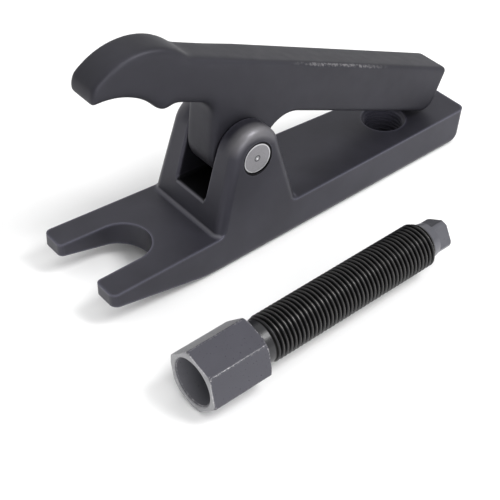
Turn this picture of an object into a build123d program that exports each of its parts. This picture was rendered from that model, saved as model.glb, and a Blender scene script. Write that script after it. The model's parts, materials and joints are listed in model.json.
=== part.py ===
from build123d import *
import math
import os

os.makedirs("parts", exist_ok=True)

# Ball joint separator: a forked base, a beaked lever on a pivot pin, and the forcing screw lying beside it.
# Lengths are millimetres and angles degrees. X runs from the fork tips to the rear end and Z up.
# The origin is the centre of the fork's round end, on the flat top face of the base.

# Base forging, along its length from the origin
FORK_TIPS = 15.2
EAR_FRONT = 22.9
PIN_X = 38.8
EAR_REAR = 54.1
THREAD_X = 103.3
BASE_REAR = 128.9

# Base forging, sections
BASE_THICK = 12.0
TIP_THICK = 4.0
WEDGE_END = 27.0
TIPS_WIDTH = 37.0
REAR_WIDTH = 24.4
DRAFT = 3.0
REAR_LEAN = 12.0
FORK_OPENING = 18.0
MOUTH_OPENING = 19.2

# Base forging, roundings
TIP_CORNER = 2.2
MOUTH_CORNER = 1.6
REAR_CORNER = 2.6
REAR_HEEL = 4.0
EAR_EDGE = 3.0
STEP_CORNER = 1.2
FLOOR_CORNER = 1.2
WINDOW_EDGE = 1.0

# Ears and the gap between them
PIN_Z = 21.4
EAR_RADIUS = 9.3
GAP_FLOOR = 7.5

# Pivot pin, pressed into the ears, with the lever running on it
PIN_DIAMETER = 10.0
PIN_RECESS = 0.3
PIN_CHAMFER = 0.3
CENTRE_MARK = 0.8
PIN_CLEARANCE = 0.05

# Lever, measured from the pin axis along its straight bar and square to it
LEVER_WIDTH = 13.0
SIDE_CLEARANCE = 0.2
BAR_BOTTOM = 10.8
BAR_THICK = 16.0
BAR_END = 82.0
END_LEAN = 3.0
BAR_HEEL = 5.0
BAR_TOE = 1.2
LEVER_EDGE = 1.4
BEAK_WIDTH = 11.4
BEAK_START = 26.0
HUMP_X = 38.0
HUMP_RISE = 2.2
HUMP_RADIUS = 21.5
HUMP_THROAT = 5.0
BROW_TURN = 64.0
TIP_X = 56.2
TIP_Z = 11.3
SCALLOP_X = 45.1
SCALLOP_Z = 13.95
SCALLOP_RADIUS = 21.0
BUMP_Z = 10.45
BUMP_RADIUS = 3.0
POCKET_Z = 12.9
POCKET_CORNER = 4.0
LUG_RADIUS = 10.2
LUG_LEAN = 18.0
FRONT_THROAT = 6.0
REAR_THROAT = 9.5
REST_ANGLE = 22.9

# Thread cut in the base and on the screw
THREAD_DIAMETER = 14.0
THREAD_PITCH = 1.5
TAP_LEAD = 0.3

# Forcing screw, along its own axis from the outer face of the head
HEAD_FLATS = 17.0
HEAD_LENGTH = 20.2
HEAD_FACE = 17.4
HEAD_BORE = 14.0
BORE_DEPTH = 14.5
BORE_LEAD = 0.6
NECK_DIAMETER = 13.0
NECK_LENGTH = 3.5
THREAD_LENGTH = 62.7
THREAD_LEAD = 1.2
CONE_LENGTH = 3.0
STUB_FLATS = 8.2
STUB_CORNERS = 10.4
STUB_LENGTH = 5.0

# Where the loose screw lies, on the level that the base stands on
SCREW_X = -15.7
SCREW_Y = -56.1
SCREW_YAW = 2.85
SCREW_ROLL = 18.0

TAN_DRAFT = math.tan(math.radians(DRAFT))
EAR_TOP = PIN_Z + EAR_RADIUS
TAP_BORE = THREAD_DIAMETER - 1.0825 * THREAD_PITCH
BAR_TOP = BAR_BOTTOM + BAR_THICK


def tangent_point(x, side):
    """Where the line up from the base's top face at x touches the ear's round top."""
    reach = math.hypot(PIN_X - x, PIN_Z)
    run = math.sqrt(reach ** 2 - EAR_RADIUS ** 2)
    heading = math.atan2(PIN_Z, PIN_X - x) + side * math.asin(EAR_RADIUS / reach)
    return (x + run * math.cos(heading), run * math.sin(heading))


def base_side():
    """The base seen from the side: wedge fork, ears and rear arm."""
    heel = BASE_REAR - BASE_THICK * math.tan(math.radians(REAR_LEAN))
    bar = Polygon(
        (-FORK_TIPS, 0),
        (-FORK_TIPS, -TIP_THICK),
        (WEDGE_END, -BASE_THICK),
        (heel, -BASE_THICK),
        (BASE_REAR, 0),
        align=None,
    )
    ear = Polygon(
        (EAR_FRONT, 0),
        (EAR_FRONT, -TIP_THICK),
        (EAR_REAR, -TIP_THICK),
        (EAR_REAR, 0),
        tangent_point(EAR_REAR, -1),
        (PIN_X, PIN_Z),
        tangent_point(EAR_FRONT, 1),
        align=None,
    )
    return bar + ear + Pos(PIN_X, PIN_Z) * Circle(EAR_RADIUS)


def base_plan():
    """The base seen from above, drafted so that its sides lean in towards the top."""
    spread = BASE_THICK * TAN_DRAFT
    tips = TIPS_WIDTH / 2 + spread
    rear = REAR_WIDTH / 2 + spread
    start = -FORK_TIPS - spread
    end = BASE_REAR + spread
    outline = Polygon((start, -tips), (end, -rear), (end, rear), (start, tips), align=None)
    return extrude(Plane.XY.offset(-BASE_THICK) * outline, amount=BASE_THICK + EAR_TOP + 1, taper=DRAFT)


def fork_slot():
    reach = FORK_TIPS + 2
    mouth = (FORK_OPENING + (MOUTH_OPENING - FORK_OPENING) * reach / FORK_TIPS) / 2
    half = FORK_OPENING / 2
    flare = Polygon((0, -half), (0, half), (-reach, mouth), (-reach, -mouth), align=None)
    return extrude(Plane.XY * (Circle(half) + flare), amount=BASE_THICK + 1, both=True)


def is_upright(edge):
    return abs(edge.tangent_at(0.5).Z) > 0.9


def frames_window(edge):
    """The edges where the gap between the ears opens to the front, to the rear and over the round tops."""
    box = edge.bounding_box()
    inside = max(abs(box.min.Y), abs(box.max.Y)) < LEVER_WIDTH / 2 + SIDE_CLEARANCE + 0.01
    opens = box.max.Z > GAP_FLOOR - 0.01 and abs(edge.tangent_at(0.5).X) < 0.99
    return inside and opens or is_round_top(edge, box)


def is_round_top(edge, box):
    """The arc over one ear, on the side of the gap."""
    return edge.geom_type == GeomType.CIRCLE and box.size.Y < 0.01 and abs(box.max.Z - EAR_TOP) < 0.01


def make_base():
    body = extrude(Plane.XZ * base_side(), amount=TIPS_WIDTH, both=True) & base_plan()
    body -= fork_slot()
    tips = body.edges().filter_by(lambda e: is_upright(e) and e.center().X < 1 - FORK_TIPS)
    body = fillet(tips.filter_by(lambda e: abs(e.center().Y) > MOUTH_OPENING * 0.75), TIP_CORNER)
    tips = body.edges().filter_by(lambda e: is_upright(e) and e.center().X < 1 - FORK_TIPS)
    body = fillet(tips.filter_by(lambda e: abs(e.center().Y) < MOUTH_OPENING * 0.55), MOUTH_CORNER)
    underside = body.edges().filter_by(lambda e: abs(e.center().Z + BASE_THICK) < 0.01)
    body = fillet(underside.sort_by(Axis.X)[-1], REAR_HEEL)
    rear = body.edges().filter_by(lambda e: is_upright(e) and e.center().X > BASE_REAR - 3)
    body = fillet(rear, REAR_CORNER)
    gap = LEVER_WIDTH + 2 * SIDE_CLEARANCE
    tall = EAR_TOP - GAP_FLOOR + 5
    cut = Pos(PIN_X, 0, GAP_FLOOR + tall / 2) * Box(4 * EAR_RADIUS + EAR_REAR - EAR_FRONT, gap, tall)
    body -= fillet(cut.edges().filter_by(Axis.X).group_by(Axis.Z)[0], FLOOR_CORNER)
    rims = body.edges().filter_by(lambda e: e.center().Z > 1 and abs(e.center().Y) > gap / 2 + 1)
    body = fillet(rims.filter_by(lambda e: abs(e.tangent_at(0.5).Y) < 0.5), EAR_EDGE)
    under_ears = body.edges().filter_by(lambda e: EAR_FRONT - 1 < e.center().X < EAR_REAR + 1)
    steps = under_ears.filter_by(lambda e: abs(e.center().Z) < 0.01)
    body = fillet(steps.filter_by(Axis.Y), STEP_CORNER)
    body = fillet(body.edges().filter_by(frames_window), WINDOW_EDGE)
    body -= Pos(PIN_X, 0, PIN_Z) * Rot(90, 0, 0) * Cylinder(PIN_DIAMETER / 2, TIPS_WIDTH)
    body -= Pos(THREAD_X, 0, 0) * Cylinder(TAP_BORE / 2, 3 * BASE_THICK)
    lead = THREAD_DIAMETER / 2 + TAP_LEAD
    depth = lead - TAP_BORE / 2
    body -= Pos(THREAD_X, 0, -depth / 2) * Cone(TAP_BORE / 2, lead, depth)
    body -= Pos(THREAD_X, 0, depth / 2 - BASE_THICK) * Cone(lead, TAP_BORE / 2, depth)
    return body


def beside(centre, reach, height, side):
    """The point at the given height and distance from centre, on the side of +X or -X."""
    return (centre[0] + side * math.sqrt(reach ** 2 - (height - centre[1]) ** 2), height)


def toward(start, end, distance):
    """The point at a distance from start toward end."""
    share = distance / math.dist(start, end)
    return (start[0] + share * (end[0] - start[0]), start[1] + share * (end[1] - start[1]))


def lug_and_throats():
    """The round lug under the bar, from the end of the bar's flat underside to the start of the pocket."""
    rear_centre = beside((0, 0), LUG_RADIUS + REAR_THROAT, BAR_BOTTOM - REAR_THROAT, 1)
    lug_rear = toward((0, 0), rear_centre, LUG_RADIUS)
    lean = math.radians(LUG_LEAN)
    front = (-math.cos(lean), -math.sin(lean))
    front_z = POCKET_Z - FRONT_THROAT
    front_x = (LUG_RADIUS + FRONT_THROAT + front_z * math.sin(lean)) / front[0]
    lug_front = (LUG_RADIUS * front[0], LUG_RADIUS * front[1])
    throat_low = (front_x - FRONT_THROAT * front[0], front_z - FRONT_THROAT * front[1])
    return [
        RadiusArc((rear_centre[0], BAR_BOTTOM), lug_rear, -REAR_THROAT),
        ThreePointArc(lug_rear, (0, -LUG_RADIUS), lug_front),
        Line(lug_front, throat_low),
        RadiusArc(throat_low, (front_x, POCKET_Z), -FRONT_THROAT),
    ]


def beak():
    """The beak from the pocket to the bar's top: bump, scallop, tip, brow and hump."""
    scallop = (-SCALLOP_X, SCALLOP_Z)
    bump_z = BUMP_Z + BUMP_RADIUS
    scallop_centre = (-SCALLOP_X, SCALLOP_Z - SCALLOP_RADIUS)
    bump_centre = beside(scallop_centre, SCALLOP_RADIUS + BUMP_RADIUS, bump_z, 1)
    pocket_centre = beside(bump_centre, BUMP_RADIUS + POCKET_CORNER, POCKET_Z - POCKET_CORNER, 1)
    pocket = (pocket_centre[0], POCKET_Z)
    bump_rear = toward(bump_centre, pocket_centre, BUMP_RADIUS)
    bump_front = toward(bump_centre, scallop_centre, BUMP_RADIUS)
    tip = (-TIP_X, TIP_Z)
    tip_radius = math.dist(scallop, tip) ** 2 / (2 * (SCALLOP_Z - TIP_Z))
    hump_centre = (-HUMP_X, BAR_TOP + HUMP_RISE - HUMP_RADIUS)
    throat_centre = beside(hump_centre, HUMP_RADIUS + HUMP_THROAT, BAR_TOP + HUMP_THROAT, 1)
    hump_rear = toward(hump_centre, throat_centre, HUMP_RADIUS)
    turn = math.radians(BROW_TURN)
    brow = (hump_centre[0] - HUMP_RADIUS * math.sin(turn), hump_centre[1] + HUMP_RADIUS * math.cos(turn))
    return [
        RadiusArc(pocket, bump_rear, -POCKET_CORNER),
        ThreePointArc(bump_rear, (bump_centre[0], BUMP_Z), bump_front),
        RadiusArc(bump_front, scallop, -SCALLOP_RADIUS),
        RadiusArc(scallop, tip, -tip_radius),
        Spline(tip, brow, tangents=((-1, 1.1), (math.cos(turn), math.sin(turn)))),
        ThreePointArc(brow, (-HUMP_X, BAR_TOP + HUMP_RISE), hump_rear),
        RadiusArc(hump_rear, (throat_centre[0], BAR_TOP), -HUMP_THROAT),
    ]


def lever_outline():
    """The lever's outline, with the pin axis at the origin and its bar along +X."""
    lug = lug_and_throats()
    front = beak()
    top = (BAR_END, BAR_TOP)
    low = (BAR_END - BAR_THICK * math.tan(math.radians(END_LEAN)), BAR_BOTTOM)
    bar = [Line(front[-1] @ 1, top), Line(top, low), Line(low, lug[0] @ 0)]
    return make_face(Wire([*bar, *lug, Line(lug[-1] @ 1, front[0] @ 0), *front]))


def beak_plan():
    """The lever seen from above, in its own frame: parallel, then narrower to the tip of the beak."""
    tip = -TIP_X - 3
    half = LEVER_WIDTH / 2
    tail = BAR_END + BAR_THICK
    outline = Polygon(
        (tip, -BEAK_WIDTH / 2),
        (-BEAK_START, -half),
        (tail, -half),
        (tail, half),
        (-BEAK_START, half),
        (tip, BEAK_WIDTH / 2),
        align=None,
    )
    return extrude(Plane.XY * outline, amount=BAR_TOP * 2, both=True)


def make_lever():
    body = extrude(Plane.XZ * lever_outline(), amount=LEVER_WIDTH, both=True) & beak_plan()
    body = fillet(bar_ends(body).sort_by(Axis.Z)[0], BAR_HEEL)
    body = fillet(bar_ends(body).sort_by(Axis.Z)[-1], BAR_TOE)
    sides = body.edges().filter_by(lambda e: abs(e.center().Y) > BEAK_WIDTH * 0.45)
    outline = sides.filter_by(lambda e: abs(e.tangent_at(0.5).Y) < 0.3 and not crosses_side(e))
    body = fillet(outline, LEVER_EDGE)
    body -= Rot(90, 0, 0) * Cylinder(PIN_DIAMETER / 2 + PIN_CLEARANCE, LEVER_WIDTH * 2)
    return Pos(PIN_X, 0, PIN_Z) * Rot(0, REST_ANGLE, 0) * body


def bar_ends(body):
    """The edges across the rear end of the bar."""
    return body.edges().filter_by(Axis.Y).filter_by(lambda e: e.center().X > BAR_END - BAR_HEEL)


def crosses_side(edge):
    """The crease down each side face where the beak starts to narrow."""
    return abs(edge.center().X + BEAK_START) < 0.01 and is_upright(edge)


def ear_half_width():
    """Half width over the ears at the pin axis."""
    share = (PIN_X + FORK_TIPS) / (BASE_REAR + FORK_TIPS)
    return (TIPS_WIDTH + (REAR_WIDTH - TIPS_WIDTH) * share) / 2 - PIN_Z * TAN_DRAFT


def make_pin():
    half = ear_half_width() - PIN_RECESS
    pin = Cylinder(PIN_DIAMETER / 2, 2 * half)
    pin = chamfer(pin.edges().filter_by(GeomType.CIRCLE), PIN_CHAMFER)
    mark = CENTRE_MARK / 2
    pin -= Pos(0, 0, half - mark / 2) * Cone(0.05, mark, mark)
    pin -= Pos(0, 0, mark / 2 - half) * Cone(mark, 0.05, mark)
    return Pos(PIN_X, 0, PIN_Z) * Rot(90, 0, 0) * pin


def turned(*points):
    """A solid turned about +X from (distance along the axis, radius) points."""
    return revolve(Polygon((points[0][0], 0), *points, (points[-1][0], 0), align=None), Axis.X)


def prism(corners, flats, length):
    """A prism along +X with one corner toward -Y."""
    outline = RegularPolygon(flats / 2, corners, major_radius=False)
    turn = -90 if corners == 4 else 0
    return extrude(Plane.YZ * (Rot(0, 0, turn) * outline), amount=length)


def make_screw():
    slope = (HEAD_FLATS / math.cos(math.pi / 6) - HEAD_FACE) / 2 * math.tan(math.radians(30))
    corner = HEAD_FLATS / math.cos(math.pi / 6) / 2
    barrel = turned(
        (0, HEAD_FACE / 2),
        (slope, corner + 0.01),
        (HEAD_LENGTH - slope, corner + 0.01),
        (HEAD_LENGTH, HEAD_FACE / 2),
    )
    head = prism(6, HEAD_FLATS, HEAD_LENGTH) & barrel
    bore = HEAD_BORE / 2
    head -= turned((-1, bore + BORE_LEAD + 1), (BORE_LEAD, bore), (BORE_DEPTH, bore))
    start = HEAD_LENGTH + NECK_LENGTH
    end = start + THREAD_LENGTH
    crest = THREAD_DIAMETER / 2
    neck = NECK_DIAMETER / 2
    stub = STUB_CORNERS / 2
    shank = turned(
        (HEAD_LENGTH - 1, neck),
        (start, neck),
        (start + crest - neck, crest),
        (end - THREAD_LEAD, crest),
        (end, crest - THREAD_LEAD),
        (end + CONE_LENGTH, stub),
        (end + CONE_LENGTH + 0.01, stub),
    )
    square = Pos(end, 0, 0) * prism(4, STUB_FLATS, CONE_LENGTH + STUB_LENGTH)
    square = square & turned((end, stub), (end + CONE_LENGTH + STUB_LENGTH, stub))
    rest = HEAD_FLATS / math.cos(math.pi / 6) / 2 * math.cos(math.radians(30 - SCREW_ROLL))
    lie = Pos(SCREW_X, SCREW_Y, rest - BASE_THICK) * Rot(0, 0, SCREW_YAW) * Rot(SCREW_ROLL, 0, 0)
    return lie * (head + shank + square)


PARTS = {
    "fork_body": make_base(),
    "lever": make_lever(),
    "pivot_pin": make_pin(),
    "forcing_screw": make_screw(),
}
for name, shape in PARTS.items():
    print(name, shape.is_valid, len(shape.solids()), round(shape.volume), shape.bounding_box())
    export_step(shape, f"parts/{name}.step")
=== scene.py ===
import json
import math

import bmesh
import bpy
from mathutils import Matrix, Vector


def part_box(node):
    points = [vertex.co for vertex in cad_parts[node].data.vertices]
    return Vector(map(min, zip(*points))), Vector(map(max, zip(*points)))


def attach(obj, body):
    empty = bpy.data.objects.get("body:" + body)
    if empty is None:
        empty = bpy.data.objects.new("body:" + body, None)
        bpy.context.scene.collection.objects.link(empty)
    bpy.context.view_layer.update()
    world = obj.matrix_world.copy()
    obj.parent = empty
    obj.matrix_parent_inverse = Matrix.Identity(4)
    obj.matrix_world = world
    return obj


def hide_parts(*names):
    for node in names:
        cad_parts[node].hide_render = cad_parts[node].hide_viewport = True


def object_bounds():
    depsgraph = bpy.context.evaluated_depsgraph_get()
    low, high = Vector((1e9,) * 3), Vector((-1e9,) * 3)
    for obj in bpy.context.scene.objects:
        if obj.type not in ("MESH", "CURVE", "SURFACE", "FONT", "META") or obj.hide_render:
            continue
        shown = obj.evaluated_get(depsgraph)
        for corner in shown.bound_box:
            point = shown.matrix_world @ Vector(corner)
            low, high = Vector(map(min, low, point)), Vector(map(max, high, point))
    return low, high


bl_info = {
    "name": "Ball Joint Separator",
    "version": (1, 0, 0),
    "blender": (4, 5, 0),
    "location": "3D View > Sidebar > Separator",
    "description": "Models and finishes a forged ball joint separator with its loose forcing screw",
    "category": "Object",
}

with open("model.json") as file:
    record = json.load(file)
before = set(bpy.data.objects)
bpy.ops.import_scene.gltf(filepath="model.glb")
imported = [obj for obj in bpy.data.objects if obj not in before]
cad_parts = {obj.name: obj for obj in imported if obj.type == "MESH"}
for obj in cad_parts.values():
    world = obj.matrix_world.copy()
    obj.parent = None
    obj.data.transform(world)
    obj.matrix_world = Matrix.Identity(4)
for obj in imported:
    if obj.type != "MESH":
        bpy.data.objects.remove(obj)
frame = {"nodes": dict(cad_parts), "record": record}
cad_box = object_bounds()
mounts = {mount["name"]: mount for mount in frame["record"]["mounts"]}
pin_low, pin_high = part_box("pivot_pin")
PIN_AXIS = (Vector(pin_low) + Vector(pin_high)) / 2
PIN_RADIUS = (pin_high[0] - pin_low[0]) / 2

BARE_STEEL = (0.42, 0.41, 0.42)
# Painted highlight colour for the base's step and lip fillets
PAINTED_EDGE_HIGHLIGHT = (0.075, 0.074, 0.084)
DEEP_SHADOW = (0.0015, 0.0015, 0.0017)
# Painted shadow in the gap round the pin's end
PIN_GAP_SHADOW = (0.002, 0.002, 0.002)
# Painted highlight on the pin's rim
PIN_RIM_HIGHLIGHT = (0.6, 0.6, 0.62)
PIN_MARK = (0.42, 0.42, 0.43)
PIN_MARK_RING = (0.08, 0.08, 0.085)

# Depth of an outside thread as a share of its pitch
THREAD_DEPTH = 0.5413

# Where the base's painted shade and painted highlights lie, in its own X, Y and Z
GAP_HALF = 0.0066
GAP_FLOOR = 0.0072
LIP_HEIGHT = 0.0070
LIP_REAR = 0.0280
STEP_HEIGHT = 0.0006
FRONT_STEP = 0.0240
REAR_STEP = 0.0546
HOLE_SHADE = 0.00535

# The knocked stretch of the bar's top edge, from the pin along the bar
KNOCK_MIDDLE = 0.031
KNOCK_HALF = 0.008
KNOCK_FADE = 0.014
KNOCK_CORNER = 0.0323


# Sizes and colours that a user would change

class SeparatorThread(bpy.types.PropertyGroup):
    diameter: bpy.props.FloatProperty(
        name="Diameter", description="Outside diameter of the forcing thread", default=0.014, unit="LENGTH")
    pitch: bpy.props.FloatProperty(
        name="Pitch", description="Distance from one turn to the next", default=0.0015,
        unit="LENGTH", precision=4)
    steps: bpy.props.IntProperty(
        name="Steps", description="Segments in each turn of the thread", default=64, min=16, max=96)


class SeparatorScrew(bpy.types.PropertyGroup):
    flats: bpy.props.FloatProperty(
        name="Across flats", description="Width of the hexagon across its flats",
        default=0.017, unit="LENGTH")
    head: bpy.props.FloatProperty(
        name="Head length", description="Length of the hexagonal head", default=0.0202, unit="LENGTH")
    face: bpy.props.FloatProperty(
        name="Face diameter", description="Diameter of the head's end face", default=0.0174, unit="LENGTH")
    bore: bpy.props.FloatProperty(
        name="Bore", description="Diameter of the blind bore in the head", default=0.014, unit="LENGTH")
    bore_depth: bpy.props.FloatProperty(
        name="Bore depth", description="Depth of the blind bore", default=0.0145, unit="LENGTH")
    bore_lead: bpy.props.FloatProperty(
        name="Bore lead", description="Lead-in at the mouth of the bore", default=0.0006, unit="LENGTH")
    neck: bpy.props.FloatProperty(
        name="Neck diameter", description="Diameter of the plain neck", default=0.013, unit="LENGTH")
    neck_length: bpy.props.FloatProperty(
        name="Neck length", description="Length of the plain neck", default=0.0035, unit="LENGTH")
    threaded: bpy.props.FloatProperty(
        name="Threaded length", description="Length that carries the thread", default=0.0627, unit="LENGTH")
    lead: bpy.props.FloatProperty(
        name="End chamfer", description="Chamfer at the working end of the thread",
        default=0.0012, unit="LENGTH")
    cone: bpy.props.FloatProperty(
        name="Cone", description="Length of the cone behind the square end", default=0.003, unit="LENGTH")
    stub_flats: bpy.props.FloatProperty(
        name="Square", description="Width of the square end across its flats", default=0.0082, unit="LENGTH")
    stub_corners: bpy.props.FloatProperty(
        name="Square corners", description="Diameter that the square's corners are turned to",
        default=0.0104, unit="LENGTH")
    stub: bpy.props.FloatProperty(
        name="Square length", description="Length of the square end", default=0.005, unit="LENGTH")
    tip_chamfer: bpy.props.FloatProperty(
        name="Tip chamfer", description="Chamfer at the tip of the square end", default=0.0004,
        unit="LENGTH", precision=4)
    roll: bpy.props.FloatProperty(
        name="Roll", description="Turn of the screw about its own axis",
        default=math.radians(18.0), subtype="ANGLE")


class SeparatorBase(bpy.types.PropertyGroup):
    rim: bpy.props.FloatProperty(
        name="Rim", description="Width of the small bevel on the forging's sharp rims", default=0.0004,
        unit="LENGTH", precision=4)
    tap_clearance: bpy.props.FloatProperty(
        name="Tap clearance", description="How far the tapped thread's root lies outside the screw's crest",
        default=0.00005, unit="LENGTH", precision=5)
    tap_depth: bpy.props.FloatProperty(
        name="Tap depth", description="Depth of the tap's teeth", default=0.00095,
        unit="LENGTH", precision=5)


class SeparatorLever(bpy.types.PropertyGroup):
    rest: bpy.props.FloatProperty(
        name="Rest angle", description="Slope of the bar as the tool lies", default=math.radians(22.9),
        subtype="ANGLE")
    mesh_size: bpy.props.FloatProperty(
        name="Mesh size", description="Size of the faces that the lever's skin is made of", default=0.00045,
        unit="LENGTH", precision=5)
    beak_start: bpy.props.FloatProperty(
        name="Beak start", description="How far before the pin the crisp bar edges fade into the soft beak",
        default=0.005, unit="LENGTH")
    beak_fade: bpy.props.FloatProperty(
        name="Beak fade", description="Length over which the edges fade", default=0.012, unit="LENGTH")
    beak_tip: bpy.props.FloatProperty(
        name="Beak tip", description="How far before the pin the beak ends", default=0.0562, unit="LENGTH")
    tip_softness: bpy.props.FloatProperty(
        name="Tip softness", description="Share of the smoothing that the beak's tip gets", default=0.2)
    beak_passes: bpy.props.IntProperty(
        name="Beak passes", description="Smoothing passes over the beak's edges", default=70, min=0, max=200)


class SeparatorFinish(bpy.types.PropertyGroup):
    phosphate: bpy.props.FloatVectorProperty(
        name="Phosphate", description="Colour of the black phosphate on the forgings",
        default=(0.0125, 0.0122, 0.0165), subtype="COLOR", min=0.0, max=1.0)
    phosphate_roughness: bpy.props.FloatProperty(
        name="Phosphate roughness", description="Roughness of the black phosphate",
        default=0.42, min=0.0, max=1.0)
    pin_steel: bpy.props.FloatVectorProperty(
        name="Pin steel", description="Colour of the pin's ground end", default=(0.27, 0.265, 0.28),
        subtype="COLOR", min=0.0, max=1.0)
    floor: bpy.props.FloatVectorProperty(
        name="Floor", description="Colour of the floor", default=(0.9, 0.9, 0.9),
        subtype="COLOR", min=0.0, max=1.0)


class SeparatorStudio(bpy.types.PropertyGroup):
    azimuth: bpy.props.FloatProperty(
        name="Azimuth", description="Camera's turn round the tool",
        default=math.radians(-37.715), subtype="ANGLE")
    elevation: bpy.props.FloatProperty(
        name="Elevation", description="Camera's height angle", default=math.radians(38.602), subtype="ANGLE")
    roll: bpy.props.FloatProperty(
        name="Camera roll", description="Camera's turn about its own view",
        default=math.radians(-0.2), subtype="ANGLE")
    eye: bpy.props.FloatVectorProperty(
        name="Camera place", description="Where the camera stands", default=(-0.1528, -0.2547, 0.2471),
        subtype="TRANSLATION", unit="LENGTH")
    lens: bpy.props.FloatProperty(
        name="Lens", description="Focal length on a 36 mm sensor, in millimetres", default=95.2)
    shift: bpy.props.FloatVectorProperty(
        name="Shift", description="Shift of the camera's frame", default=(0.0178, -0.0776), size=2)


# Modelling helpers

def deselect():
    if bpy.context.object and bpy.context.object.mode != "OBJECT":
        bpy.ops.object.mode_set(mode="OBJECT")
    bpy.ops.object.select_all(action="DESELECT")


def pick(obj):
    deselect()
    obj.select_set(True)
    bpy.context.view_layer.objects.active = obj


def select_where(obj, kind, test):
    """In edit mode, selects the vertices, edges or faces of obj that pass the test."""
    bpy.ops.mesh.select_mode(type=kind)
    bpy.ops.mesh.select_all(action="DESELECT")
    shape = bmesh.from_edit_mesh(obj.data)
    parts = {"VERT": shape.verts, "EDGE": shape.edges, "FACE": shape.faces}[kind]
    for part in parts:
        if test(part):
            part.select_set(True)
    shape.select_flush_mode()
    bmesh.update_edit_mesh(obj.data)


def finish_with(obj, kind, **settings):
    """Adds one modifier to obj and applies it."""
    modifier = obj.modifiers.new(kind.title(), kind)
    for name, value in settings.items():
        setattr(modifier, name, value)
    pick(obj)
    bpy.ops.object.modifier_apply(modifier=modifier.name)


def cut_or_add(obj, other, operation):
    """A boolean of obj with other, which is used up."""
    finish_with(obj, "BOOLEAN", operation=operation, object=other, solver="EXACT")
    bpy.data.objects.remove(other)


def rod(name, sides, stations, turn=0.0):
    """A solid along +X made from a circle that is extruded and resized from station to station."""
    first = stations[0]
    deselect()
    bpy.ops.mesh.primitive_circle_add(
        vertices=sides, radius=first[1], fill_type="NGON", location=(0, 0, 0), rotation=(0, 0, 0))
    obj = bpy.context.object
    obj.name = name
    obj.data.transform(Matrix.Rotation(math.pi / 2, 4, "Y") @ Matrix.Rotation(turn, 4, "Z"))
    obj.data.transform(Matrix.Translation((first[0], 0, 0)))
    bpy.ops.object.mode_set(mode="EDIT")
    bpy.ops.mesh.select_all(action="SELECT")
    place, radius = first
    for next_place, next_radius in stations[1:]:
        bpy.ops.mesh.extrude_region_move(TRANSFORM_OT_translate={"value": (next_place - place, 0, 0)})
        scale = next_radius / radius
        if abs(scale - 1) > 1e-6:
            centre = (next_place, 0, 0)
            bpy.ops.transform.resize(value=(1, scale, scale), center_override=centre)
        place, radius = next_place, next_radius
    bpy.ops.mesh.select_all(action="SELECT")
    bpy.ops.mesh.normals_make_consistent(inside=False)
    bpy.ops.object.mode_set(mode="OBJECT")
    return obj


def smooth(obj, angle=35.0):
    pick(obj)
    bpy.ops.object.shade_smooth_by_angle(angle=math.radians(angle))


def lay(obj, place):
    """Moves obj's mesh to its place, so that the object itself stays at the origin."""
    obj.data.transform(place)
    obj.data.update()


# Materials

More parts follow.
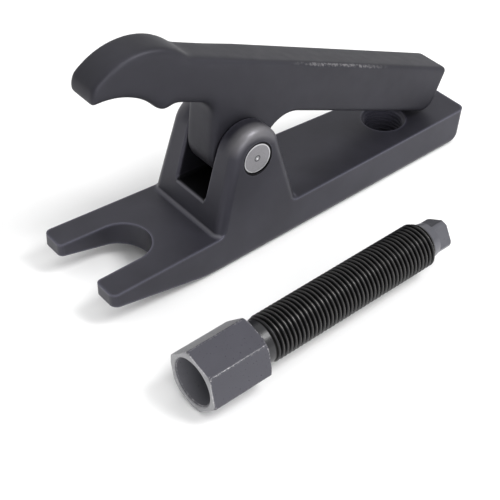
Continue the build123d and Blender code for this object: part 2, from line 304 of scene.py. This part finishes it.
class Finish:
    """A short way to lay out a material's nodes."""

    def __init__(self, name):
        self.material = bpy.data.materials.new(name)
        self.material.use_nodes = True
        self.tree = self.material.node_tree
        self.shader = self.tree.nodes["Principled BSDF"]
        self.object = self.node("ShaderNodeTexCoord").outputs["Object"]

    def node(self, kind, **settings):
        node = self.tree.nodes.new(kind)
        for name, value in settings.items():
            setattr(node, name, value)
        return node

    def link(self, start, end):
        self.tree.links.new(start, end)

    def noise(self, scale, detail=3.0, roughness=0.5):
        noise = self.node("ShaderNodeTexNoise")
        noise.inputs["Scale"].default_value = scale
        noise.inputs["Detail"].default_value = detail
        noise.inputs["Roughness"].default_value = roughness
        self.link(self.object, noise.inputs["Vector"])
        return noise.outputs["Fac"]

    def spread(self, value, low, high, to_low, to_high):
        ramp = self.node("ShaderNodeMapRange", clamp=True)
        ramp.inputs["From Min"].default_value = low
        ramp.inputs["From Max"].default_value = high
        ramp.inputs["To Min"].default_value = to_low
        ramp.inputs["To Max"].default_value = to_high
        self.link(value, ramp.inputs["Value"])
        return ramp.outputs["Result"]

    def blend(self, factor, first, second):
        mix = self.node("ShaderNodeMix", data_type="RGBA")
        self.link(factor, mix.inputs["Factor"])
        for socket, colour in ((mix.inputs[6], first), (mix.inputs[7], second)):
            if hasattr(colour, "is_output"):
                self.link(colour, socket)
            else:
                socket.default_value = (*colour, 1.0)
        return mix.outputs[2]

    def mix(self, factor, first, second):
        """A number that goes from first to second as factor goes from 0 to 1."""
        mix = self.node("ShaderNodeMix", data_type="FLOAT")
        self.link(factor, mix.inputs["Factor"])
        self.link(first, mix.inputs["A"])
        mix.inputs["B"].default_value = second
        return mix.outputs["Result"]

    def work(self, operation, first, second=0.0):
        total = self.node("ShaderNodeMath", operation=operation)
        for socket, value in zip(total.inputs, (first, second)):
            if hasattr(value, "is_output"):
                self.link(value, socket)
            else:
                socket.default_value = value
        return total.outputs["Value"]

    def times(self, first, second):
        return self.work("MULTIPLY", first, second)

    def less(self, first, second):
        return self.work("SUBTRACT", first, second)

    def size_of(self, value):
        return self.work("ABSOLUTE", value)

    def axes(self):
        """The piece's X, Y and Z."""
        split = self.node("ShaderNodeSeparateXYZ")
        self.link(self.object, split.inputs["Vector"])
        return split.outputs

    def near(self, value, centre, reach, soft):
        """1 within reach of centre, falling to 0 over soft."""
        away = self.size_of(self.less(value, centre))
        return self.spread(away, reach, reach + soft, 1.0, 0.0)

    def edges(self, radius, sharp=0.05):
        """1 on edges that stand out or dip in, where a rounding of this radius would turn the surface."""
        bevel = self.node("ShaderNodeBevel", samples=6)
        bevel.inputs["Radius"].default_value = radius
        face = self.node("ShaderNodeNewGeometry").outputs["Normal"]
        dot = self.node("ShaderNodeVectorMath", operation="DOT_PRODUCT")
        self.link(bevel.outputs["Normal"], dot.inputs[0])
        self.link(face, dot.inputs[1])
        return self.spread(dot.outputs["Value"], 1.0 - sharp, 1.0, 1.0, 0.0)

    def follow(self, place):
        """Reads the pattern in the piece's own frame, which lies at place."""
        own = self.node("ShaderNodeMapping", vector_type="TEXTURE")
        own.inputs["Location"].default_value = place.to_translation()
        own.inputs["Rotation"].default_value = place.to_euler()
        self.link(self.object, own.inputs["Vector"])
        self.object = own.outputs["Vector"]

    def from_axis(self, sides):
        """Distance from the axis, given the two coordinates square to it."""
        squares = [self.times(side, side) for side in sides]
        return self.work("POWER", self.work("ADD", *squares), 0.5)

    def rings(self, axis, centre, scale):
        """Fine turned rings about a line through centre along X, Y or Z."""
        place = self.node("ShaderNodeMapping")
        place.inputs["Location"].default_value = tuple(-value for value in centre)
        self.link(self.object, place.inputs["Vector"])
        wave = self.node("ShaderNodeTexWave", wave_type="RINGS", rings_direction=axis.upper())
        wave.inputs["Scale"].default_value = scale
        wave.inputs["Distortion"].default_value = 0.4
        self.link(place.outputs["Vector"], wave.inputs["Vector"])
        return wave.outputs["Fac"]

    def bump(self, height, strength, distance):
        bump = self.node("ShaderNodeBump")
        bump.inputs["Strength"].default_value = strength
        bump.inputs["Distance"].default_value = distance
        self.link(height, bump.inputs["Height"])
        self.link(bump.outputs["Normal"], self.shader.inputs["Normal"])


def scaled(colour, share):
    return tuple(channel * share for channel in colour)


def forged_phosphate(name, colour, roughness, sheen, edge_highlight, wear_and_highlight, shade=None):
    """Black phosphate over a shot-blasted forging skin, with painted highlights on its edges, painted shade
    and highlights where a shade step gives them, and bare metal where the last mask says so: real knocks on
    the lever, a painted highlight over the ears.
    """
    finish = Finish(name)
    finish.shader.inputs["Specular IOR Level"].default_value = sheen
    rim = finish.edges(0.0012, 0.04)
    cloud = finish.noise(70.0, 4.0)
    stain = finish.noise(260.0, 3.0)
    grain = finish.noise(2200.0, 3.0)
    patches = finish.spread(cloud, 0.35, 0.65, 0.0, 1.0)
    tone = finish.blend(patches, scaled(colour, 0.8), scaled(colour, 1.25))
    # Painted highlight: the forging's edges are painted up to six times brighter, standing in for thin
    # bright reflections on their roundings
    tone = finish.blend(finish.times(rim, edge_highlight), tone, scaled(colour, 6))
    rough = finish.spread(stain, 0.3, 0.7, roughness - 0.02, roughness + 0.03)
    if shade:
        tone = shade(finish, tone)
    # Bare, glossy metal where this mask says: real knocks on the lever's edge, and a painted highlight over
    # the base's ears
    mask = wear_and_highlight(finish)
    tone = finish.blend(mask, tone, BARE_STEEL)
    rough = finish.mix(mask, rough, 0.32)
    finish.link(mask, finish.shader.inputs["Metallic"])
    finish.link(tone, finish.shader.inputs["Base Color"])
    finish.link(rough, finish.shader.inputs["Roughness"])
    finish.shader.inputs["Specular Tint"].default_value = (0.88, 0.87, 1.0, 1.0)
    finish.bump(grain, 0.25, 0.00003)
    return finish.material


def ground_steel(name, colour):
    """The pin's ends: ground flat, with fine turning rings, a painted highlight on the rim, a painted shadow
    at the edge where the pin meets its hole, and a centre mark.
    """
    finish = Finish(name)
    radius = from_pin(finish)
    grain = finish.noise(2600.0, 3.0)
    rings = finish.rings("y", (PIN_AXIS[0], 0.0, PIN_AXIS[2]), 900.0)
    rim = finish.near(radius, PIN_RADIUS - 0.00045, 0.0001, 0.0001)
    mark_ring = finish.near(radius, 0.0009, 0.00012, 0.0001)
    mark = finish.near(radius, 0.0, 0.0004, 0.0002)
    edge = finish.spread(radius, PIN_RADIUS - 0.0003, PIN_RADIUS - 0.0002, 0.0, 1.0)
    tone = finish.blend(grain, scaled(colour, 0.75), scaled(colour, 1.2))
    # Painted highlight: a bright ring near the pin's rim, standing in for the light its chamfer catches
    tone = finish.blend(rim, tone, PIN_RIM_HIGHLIGHT)
    tone = finish.blend(mark_ring, tone, PIN_MARK_RING)
    tone = finish.blend(mark, tone, PIN_MARK)
    # Painted shadow: the outer edge of the pin's end is painted near black, standing in for the shadow of
    # the hole's edge
    tone = finish.blend(edge, tone, PIN_GAP_SHADOW)
    finish.link(tone, finish.shader.inputs["Base Color"])
    finish.shader.inputs["Metallic"].default_value = 0.6
    finish.link(finish.spread(grain, 0.3, 0.7, 0.36, 0.5), finish.shader.inputs["Roughness"])
    finish.bump(finish.work("ADD", rings, grain), 0.25, 0.00001)
    return finish.material


def cut_steel(context):
    """The screw: satin hexagon with a painted highlight on its end face and painted light in its bore,
    thread grooves painted near black as shade, bright crests, and a bare square end.
    """
    size = context.scene.separator_screw
    thread = context.scene.separator_thread
    start = size.head + size.neck_length
    end = start + size.threaded
    crest = thread.diameter / 2
    finish = Finish("screw_steel")
    rim = finish.edges(0.0007)
    grain = finish.noise(1800.0, 3.0)
    cloud = finish.noise(120.0, 3.0)
    specks = finish.spread(finish.noise(1300.0, 4.0, 0.7), 0.5, 0.6, 0.0, 1.0)
    finish.follow(screw_place(context))
    along, across, up = finish.axes()
    radius = finish.from_axis((across, up))

    head = finish.spread(along, size.head - 0.0002, size.head, 1.0, 0.0)
    # Painted highlight: the head's end face is painted bright, partly for its turned steel and partly
    # standing in for the light it catches
    face = finish.spread(along, 0.0002, 0.0004, 1.0, 0.0)
    wall = size.bore / 2
    # Painted light: the inside of the bore is painted brighter than the head, standing in for light reaching
    # into it
    bore = finish.times(finish.spread(radius, wall + 0.00005, wall + 0.0001, 1.0, 0.0), head)
    after_start = finish.spread(along, start, start + 0.0002, 0.0, 1.0)
    before_end = finish.spread(along, end - 0.0003, end, 1.0, 0.0)
    on_thread = finish.times(after_start, before_end)
    # Painted shade: the thread's grooves are painted near black with little specular
    groove_shade = finish.times(on_thread, finish.spread(radius, crest - 0.0005, crest - 0.0002, 1.0, 0.0))
    top = finish.times(on_thread, finish.spread(radius, crest - 0.0001, crest - 0.00002, 0.0, 1.0))
    square = finish.spread(along, end, end + 0.0004, 0.0, 1.0)
    scratched = finish.times(finish.times(rim, specks), head)

    patches = finish.spread(cloud, 0.35, 0.65, 0.0, 1.0)
    black = finish.blend(patches, (0.006, 0.006, 0.008), (0.01, 0.01, 0.012))
    satin = finish.blend(cloud, (0.026, 0.0255, 0.035), (0.04, 0.039, 0.052))
    tone = finish.blend(head, black, satin)
    for mask, colour in (
        (bore, (0.13, 0.13, 0.145)),
        (face, (0.24, 0.24, 0.25)),
        (groove_shade, (0.001, 0.001, 0.001)),
        (top, (0.1, 0.098, 0.095)),
        (square, (0.11, 0.11, 0.125)),
        (scratched, BARE_STEEL),
    ):
        tone = finish.blend(mask, tone, colour)
    finish.link(tone, finish.shader.inputs["Base Color"])
    metal = finish.times(finish.work("ADD", square, scratched), 0.6)
    finish.link(finish.work("MAXIMUM", top, metal), finish.shader.inputs["Metallic"])
    finish.link(finish.spread(grain, 0.3, 0.7, 0.27, 0.36), finish.shader.inputs["Roughness"])
    finish.link(finish.spread(groove_shade, 0.0, 1.0, 0.5, 0.08), finish.shader.inputs["Specular IOR Level"])
    finish.bump(grain, 0.2, 0.00001)
    return finish.material


def from_pin(finish, behind=0.0):
    """Distance from the pin's axis, or from a line this far in front of it."""
    x, y, z = finish.axes()
    return finish.from_axis((finish.less(x, PIN_AXIS[0] - behind), finish.less(z, PIN_AXIS[2])))


def painted_ear_highlight(finish):
    """Painted highlight: bright, glossy metal patches on the outer roundings over the ears, standing in for
    the light's reflection there.
    """
    x, y, z = finish.axes()
    outer = finish.spread(finish.size_of(y), 0.0095, 0.0125, 0.0, 1.0)
    high = finish.spread(z, 0.0240, 0.0300, 0.0, 1.0)
    round_pin = finish.spread(from_pin(finish, 0.001), 0.0060, 0.0078, 0.0, 0.3)
    return finish.times(outer, finish.times(high, round_pin))


def shade_base(finish, tone):
    """Paints shade into the gap between the ears and the gap round the pin, and paints highlights on the
    step and the lip.
    """
    x, y, z = finish.axes()
    # Painted shade: the gap round the pin and the gap between the ears, above its floor, are painted near
    # black with less specular
    hole = finish.spread(from_pin(finish), HOLE_SHADE, HOLE_SHADE + 0.00015, 1.0, 0.0)
    middle = finish.spread(finish.size_of(y), GAP_HALF, GAP_HALF + 0.0003, 1.0, 0.0)
    gap = finish.times(middle, finish.spread(z, GAP_FLOOR, GAP_FLOOR + 0.0003, 0.0, 1.0))
    dark = finish.work("MAXIMUM", hole, gap)
    # Painted highlight: thin bright bands on the step fillets under the ears and on the lip at the window's
    # front edge
    low = finish.near(z, STEP_HEIGHT, 0.0002, 0.0004)
    front_step = finish.times(low, finish.spread(x, FRONT_STEP, FRONT_STEP + 0.0005, 1.0, 0.0))
    rear_step = finish.times(low, finish.near(x, REAR_STEP, 0.0006, 0.0004))
    lip = finish.times(finish.near(z, LIP_HEIGHT, 0.0002, 0.0004), middle)
    lip = finish.times(lip, finish.spread(x, LIP_REAR, LIP_REAR + 0.001, 1.0, 0.0))
    edge_highlight = finish.work("ADD", finish.work("ADD", front_step, rear_step), lip)
    tone = finish.blend(edge_highlight, tone, PAINTED_EDGE_HIGHLIGHT)
    finish.link(finish.spread(dark, 0.0, 1.0, 0.5, 0.15), finish.shader.inputs["Specular IOR Level"])
    return finish.blend(dark, tone, DEEP_SHADOW)


def lever_wear(finish):
    """Bright specks where the bar's near top edge has been knocked."""
    ragged = finish.times(finish.less(finish.noise(900.0, 5.0, 0.8), 0.5), 0.0018)
    finish.follow(lever_place(bpy.context))
    along, across, up = finish.axes()
    corner = finish.work("ADD", finish.less(up, across), ragged)
    edge = finish.spread(corner, KNOCK_CORNER, KNOCK_CORNER + 0.0002, 0.0, 0.3)
    return finish.times(edge, finish.near(along, KNOCK_MIDDLE, KNOCK_HALF, KNOCK_FADE))


def dress(obj, material):
    obj.data.materials.clear()
    obj.data.materials.append(material)


def dress_node(node, material):
    for slot in frame["nodes"][node].material_slots:
        slot.material = material


# Pieces

def merged_copy(node, name):
    """A copy of a CAD node's mesh with its loose triangles joined."""
    obj = bpy.data.objects.new(name, frame["nodes"][node].data.copy())
    bpy.context.scene.collection.objects.link(obj)
    pick(obj)
    bpy.ops.object.mode_set(mode="EDIT")
    bpy.ops.mesh.select_all(action="SELECT")
    bpy.ops.mesh.remove_doubles(threshold=2e-6)
    bpy.ops.mesh.customdata_custom_splitnormals_clear()
    bpy.ops.object.mode_set(mode="OBJECT")
    return obj


def join_flats(obj, angle=0.5):
    """Makes flat stretches whole faces."""
    pick(obj)
    bpy.ops.object.mode_set(mode="EDIT")
    bpy.ops.mesh.select_all(action="SELECT")
    bpy.ops.mesh.dissolve_limited(angle_limit=math.radians(angle))
    bpy.ops.object.mode_set(mode="OBJECT")


def lever_place(context):
    """From the lever's own frame, with its bar along X from the pin, to where it lies."""
    turn = Matrix.Rotation(context.scene.separator_lever.rest, 4, "Y")
    return Matrix.Translation(PIN_AXIS) @ turn


def soften(obj, name, passes, weight):
    """Smooths obj where weight of a vertex's place is above 0."""
    group = obj.vertex_groups.new(name=name)
    for vertex in obj.data.vertices:
        amount = weight(vertex.co)
        if amount > 0:
            group.add([vertex.index], min(amount, 1.0), "REPLACE")
    finish_with(obj, "SMOOTH", factor=0.5, iterations=passes, vertex_group=name)
    obj.vertex_groups.clear()


def screw_place(context):
    """From the screw's own axis, with the head's outer face at the origin, to where the screw lies."""
    drive = mounts["hex_drive"]
    back = -Vector(drive["axis"])
    turn = Matrix.Rotation(math.atan2(back.y, back.x), 4, "Z")
    roll = Matrix.Rotation(context.scene.separator_screw.roll, 4, "X")
    return Matrix.Translation(drive["pos_m"]) @ turn @ roll


def thread_rod(name, crest, pitch, depth, start, end, steps):
    """An open tube of right-handed thread turns about +X, a turn longer than asked at each end."""
    root = crest - depth
    flank = depth * math.tan(math.radians(30))
    root_flat = pitch / 4
    crest_flat = pitch - root_flat - 2 * flank
    tooth = [
        (0.0, root + 0.06 * depth),
        (root_flat * 0.5, root),
        (root_flat, root + 0.06 * depth),
        (root_flat + flank * 0.92, crest - 0.08 * depth),
        (root_flat + flank + crest_flat * 0.25, crest),
        (root_flat + flank + crest_flat * 0.75, crest),
        (root_flat + flank * 1.08 + crest_flat, crest - 0.08 * depth),
        (pitch, root + 0.06 * depth),
    ]
    turns = math.ceil((end - start) / pitch) + 2
    deselect()
    bpy.ops.mesh.primitive_plane_add(size=pitch)
    obj = bpy.context.object
    obj.name = name
    bpy.ops.object.mode_set(mode="EDIT")
    shape = bmesh.from_edit_mesh(obj.data)
    shape.verts.ensure_lookup_table()
    bmesh.ops.delete(shape, geom=shape.verts[1:], context="VERTS")
    shape.verts.ensure_lookup_table()
    shape.verts[0].co = (start - pitch, 0, tooth[0][1])
    shape.verts[0].select_set(True)
    bmesh.update_edit_mesh(obj.data)
    for (here, low), (there, high) in zip(tooth, tooth[1:]):
        bpy.ops.mesh.extrude_vertices_move(TRANSFORM_OT_translate={"value": (there - here, 0, high - low)})
    bpy.ops.object.mode_set(mode="OBJECT")
    finish_with(obj, "SCREW", axis="X", angle=2 * math.pi, screw_offset=pitch, iterations=turns,
                steps=steps, render_steps=steps, use_merge_vertices=True, merge_threshold=1e-7,
                use_normal_calculate=True)
    return obj


def close_ends(obj):
    """Caps the open ends of a tube and turns its faces outwards."""
    pick(obj)
    bpy.ops.object.mode_set(mode="EDIT")
    select_where(obj, "EDGE", lambda e: e.is_boundary)
    bpy.ops.mesh.edge_face_add()
    bpy.ops.mesh.select_all(action="SELECT")
    bpy.ops.mesh.normals_make_consistent(inside=False)
    bpy.ops.object.mode_set(mode="OBJECT")


def flatten_ends(obj, start, start_radius, end, end_radius, crest, run_out, lead):
    """Runs the thread out into a plain neck at start and chamfers it down at end."""
    for vertex in obj.data.vertices:
        x, y, z = vertex.co
        x = min(max(x, start), end)
        radius = math.hypot(y, z)
        share = min(max((x - start) / run_out, 0.0), 1.0)
        wanted = start_radius + (radius - start_radius) * share
        if x > end - lead:
            wanted = min(wanted, end_radius + (end - x) / lead * (crest - end_radius))
        if x >= end:
            wanted = end_radius
        vertex.co = (x, y / radius * wanted, z / radius * wanted)
    pick(obj)
    bpy.ops.object.mode_set(mode="EDIT")
    bpy.ops.mesh.select_all(action="SELECT")
    bpy.ops.mesh.remove_doubles(threshold=1e-6)
    bpy.ops.mesh.dissolve_degenerate(threshold=1e-7)
    bpy.ops.object.mode_set(mode="OBJECT")


class SEPARATOR_OT_screw(bpy.types.Operator):
    """Model the forcing screw: bored hexagon head, plain neck, helical thread, cone and square end"""
    bl_idname = "separator.screw"
    bl_label = "Forcing Screw"

    def execute(self, context):
        size = context.scene.separator_screw
        thread = context.scene.separator_thread
        start = size.head + size.neck_length
        end = start + size.threaded
        corner = size.flats / math.cos(math.pi / 6) / 2
        slope = (corner - size.face / 2) * math.tan(math.radians(30))

        crest = thread.diameter / 2
        depth = THREAD_DEPTH * thread.pitch
        shank = thread_rod("shank", crest, thread.pitch, depth, start, end, thread.steps)
        flatten_ends(shank, start, size.neck / 2, end, crest - size.lead, crest, thread.pitch, size.lead)
        pick(shank)
        bpy.ops.object.mode_set(mode="EDIT")
        select_where(shank, "EDGE", lambda e: e.is_boundary and all(v.co.x < start + 1e-5 for v in e.verts))
        bpy.ops.mesh.extrude_edges_move(TRANSFORM_OT_translate={"value": (size.head - 0.0015 - start, 0, 0)})
        bpy.ops.mesh.edge_face_add()
        select_where(shank, "EDGE", lambda e: e.is_boundary and all(v.co.x > end - 1e-5 for v in e.verts))
        bpy.ops.mesh.extrude_edges_move(TRANSFORM_OT_translate={"value": (size.cone, 0, 0)})
        scale = (size.stub_corners / 2) / (crest - size.lead)
        bpy.ops.transform.resize(value=(1, scale, scale), center_override=(end + size.cone, 0, 0))
        bpy.ops.mesh.edge_face_add()
        bpy.ops.mesh.select_all(action="SELECT")
        bpy.ops.mesh.normals_make_consistent(inside=False)
        bpy.ops.object.mode_set(mode="OBJECT")

        head = rod("head", 6, [(0, corner), (size.head, corner)])
        finish_with(head, "BEVEL", width=0.00025, segments=2, limit_method="ANGLE")
        barrel = rod("barrel", 96, [
            (-1e-5, size.face / 2),
            (slope, corner + 2e-5),
            (size.head - slope, corner + 2e-5),
            (size.head + 1e-5, size.face / 2),
        ])
        cut_or_add(head, barrel, "INTERSECT")
        bore = size.bore / 2
        drill = rod("drill", 96, [
            (-0.001, bore + size.bore_lead + 0.001),
            (size.bore_lead, bore),
            (size.bore_depth - 0.0008, bore),
            (size.bore_depth, bore - 0.0008),
        ])
        cut_or_add(head, drill, "DIFFERENCE")
        cut_or_add(head, shank, "UNION")

        tip = end + size.cone + size.stub
        half_diagonal = size.stub_flats / math.sqrt(2)
        corner_radius = size.stub_corners / 2
        stub = rod("stub", 4, [(end, half_diagonal), (tip, half_diagonal)], math.pi / 2)
        round_off = rod("round_off", 96, [
            (end - 0.001, corner_radius),
            (tip - size.tip_chamfer, corner_radius),
            (tip, corner_radius - size.tip_chamfer),
        ])
        cut_or_add(stub, round_off, "INTERSECT")
        finish_with(stub, "BEVEL", width=0.0003, segments=2, limit_method="ANGLE",
                    angle_limit=math.radians(40))
        cut_or_add(head, stub, "UNION")

        screw = head
        screw.name = "hex_forcing_screw"
        lay(screw, screw_place(context))
        smooth(screw, 35)
        finish_with(screw, "WEIGHTED_NORMAL", keep_sharp=True, weight=100)
        dress(screw, cut_steel(context))
        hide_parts("forcing_screw")
        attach(screw, "screw")
        return {"FINISHED"}


class SEPARATOR_OT_base(bpy.types.Operator):
    """Model the fork body with rounded rims and a tapped hole"""
    bl_idname = "separator.base"
    bl_label = "Fork Body"

    def execute(self, context):
        finish = context.scene.separator_finish
        size = context.scene.separator_base
        thread = context.scene.separator_thread
        base = merged_copy("fork_body", "forged_fork")
        join_flats(base)
        finish_with(base, "BEVEL", width=size.rim, segments=2, limit_method="ANGLE",
                    angle_limit=math.radians(40), use_clamp_overlap=True)

        mouth = mounts["forcing_thread"]
        low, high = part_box("fork_body")
        crest = thread.diameter / 2 + size.tap_clearance
        depth = (high[2] - low[2]) / 2
        tap = thread_rod("tap", crest, thread.pitch, size.tap_depth, -depth, depth, thread.steps)
        close_ends(tap)
        over_hole = Matrix.Translation((mouth["pos_m"][0], mouth["pos_m"][1], 0))
        lay(tap, over_hole @ Matrix.Rotation(-math.pi / 2, 4, "Y"))
        cut_or_add(base, tap, "DIFFERENCE")
        smooth(base, 30)
        finish_with(base, "WEIGHTED_NORMAL", keep_sharp=True, weight=100)
        dress(base, forged_phosphate(
            "base_phosphate", finish.phosphate, finish.phosphate_roughness, sheen=0.5, edge_highlight=0.7,
            wear_and_highlight=painted_ear_highlight, shade=shade_base))
        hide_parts("fork_body")
        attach(base, "base")
        return {"FINISHED"}


class SEPARATOR_OT_lever(bpy.types.Operator):
    """Model the lever with a soft-edged beak"""
    bl_idname = "separator.lever"
    bl_label = "Lever"

    def execute(self, context):
        finish = context.scene.separator_finish
        size = context.scene.separator_lever
        lever = merged_copy("lever", "forged_lever")
        place = lever_place(context)
        lay(lever, place.inverted())
        finish_with(lever, "REMESH", mode="VOXEL", voxel_size=size.mesh_size, adaptivity=0.0)

        def beak(co):
            from_bar = (-size.beak_start - co.x) / size.beak_fade
            from_tip = size.tip_softness + (co.x + size.beak_tip) / size.beak_fade
            return min(from_bar, from_tip)

        soften(lever, "skin", 3, lambda co: 1.0)
        soften(lever, "beak", size.beak_passes, beak)
        lay(lever, place)
        smooth(lever, 60)
        dress(lever, forged_phosphate(
            "lever_phosphate", scaled(finish.phosphate, 0.6), finish.phosphate_roughness + 0.1,
            sheen=0.47, edge_highlight=0.0, wear_and_highlight=lever_wear))
        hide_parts("lever")
        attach(lever, "lever")
        return {"FINISHED"}


class SEPARATOR_OT_pin(bpy.types.Operator):
    """Finish the pivot pin"""
    bl_idname = "separator.pin"
    bl_label = "Pivot Pin"

    def execute(self, context):
        dress_node("pivot_pin", ground_steel("pin_steel", context.scene.separator_finish.pin_steel))
        return {"FINISHED"}


def softbox(name, place, target, width, height, power):
    light = bpy.data.lights.new(name, "AREA")
    light.shape = "RECTANGLE"
    light.size = width
    light.size_y = height
    light.energy = power
    obj = bpy.data.objects.new(name, light)
    bpy.context.scene.collection.objects.link(obj)
    obj.location = place
    obj.rotation_euler = (Vector(target) - Vector(place)).to_track_quat("-Z", "Y").to_euler()


class SEPARATOR_OT_stage(bpy.types.Operator):
    """Lay the floor and set the lights and the camera"""
    bl_idname = "separator.stage"
    bl_label = "Stage"

    def execute(self, context):
        scene = context.scene
        scene.view_settings.view_transform = "Standard"
        low = cad_box[0]
        deselect()
        bpy.ops.mesh.primitive_plane_add(size=4.0, location=(0.05, 0, low[2]))
        floor = bpy.context.object
        floor.name = "floor"
        material = bpy.data.materials.new("pale_floor")
        material.use_nodes = True
        shader = material.node_tree.nodes["Principled BSDF"]
        shader.inputs["Base Color"].default_value = (*scene.separator_finish.floor, 1)
        shader.inputs["Roughness"].default_value = 0.9
        floor.data.materials.append(material)

        world = bpy.data.worlds.new("studio")
        world.use_nodes = True
        world.node_tree.nodes["Background"].inputs["Color"].default_value = (1, 1, 1, 1)
        world.node_tree.nodes["Background"].inputs["Strength"].default_value = 0.74
        scene.world = world
        softbox("overhead", (0.05, 0.3, 0.9), (0.05, 0, 0), 0.8, 0.8, 1.5)
        softbox("key", (0.33, -0.4, 0.66), (0.05, 0, 0), 0.26, 0.36, 4.5)
        softbox("fill", (-0.12, -0.72, 0.32), (0.02, -0.08, 0), 0.5, 0.4, 2.8)

        studio = scene.separator_studio
        camera = bpy.data.cameras.new("camera")
        camera.lens = studio.lens
        camera.sensor_width = 36.0
        camera.shift_x, camera.shift_y = studio.shift
        obj = bpy.data.objects.new("camera", camera)
        scene.collection.objects.link(obj)
        turn = Matrix.Rotation(studio.azimuth, 4, "Z")
        tilt = Matrix.Rotation(math.pi / 2 - studio.elevation, 4, "X")
        roll = Matrix.Rotation(studio.roll, 4, "Z")
        obj.matrix_world = Matrix.Translation(studio.eye) @ turn @ tilt @ roll
        scene.camera = obj
        return {"FINISHED"}


class SEPARATOR_PT_panel(bpy.types.Panel):
    bl_label = "Ball Joint Separator"
    bl_idname = "SEPARATOR_PT_panel"
    bl_space_type = "VIEW_3D"
    bl_region_type = "UI"
    bl_category = "Separator"

    def draw(self, context):
        for operator in OPERATORS:
            self.layout.operator(operator.bl_idname)


GROUPS = {
    "separator_thread": SeparatorThread,
    "separator_screw": SeparatorScrew,
    "separator_base": SeparatorBase,
    "separator_lever": SeparatorLever,
    "separator_finish": SeparatorFinish,
    "separator_studio": SeparatorStudio,
}
OPERATORS = (SEPARATOR_OT_base, SEPARATOR_OT_lever, SEPARATOR_OT_pin, SEPARATOR_OT_screw, SEPARATOR_OT_stage)


def register():
    for group in GROUPS.values():
        bpy.utils.register_class(group)
    for name, group in GROUPS.items():
        setattr(bpy.types.Scene, name, bpy.props.PointerProperty(type=group))
    for operator in OPERATORS:
        bpy.utils.register_class(operator)
    bpy.utils.register_class(SEPARATOR_PT_panel)


def unregister():
    bpy.utils.unregister_class(SEPARATOR_PT_panel)
    for operator in reversed(OPERATORS):
        bpy.utils.unregister_class(operator)
    for name, group in GROUPS.items():
        delattr(bpy.types.Scene, name)
        bpy.utils.unregister_class(group)


def main():
    register()
    bpy.ops.separator.base()
    bpy.ops.separator.lever()
    bpy.ops.separator.pin()
    bpy.ops.separator.screw()
    bpy.ops.separator.stage()


if __name__ == "__main__":
    main()
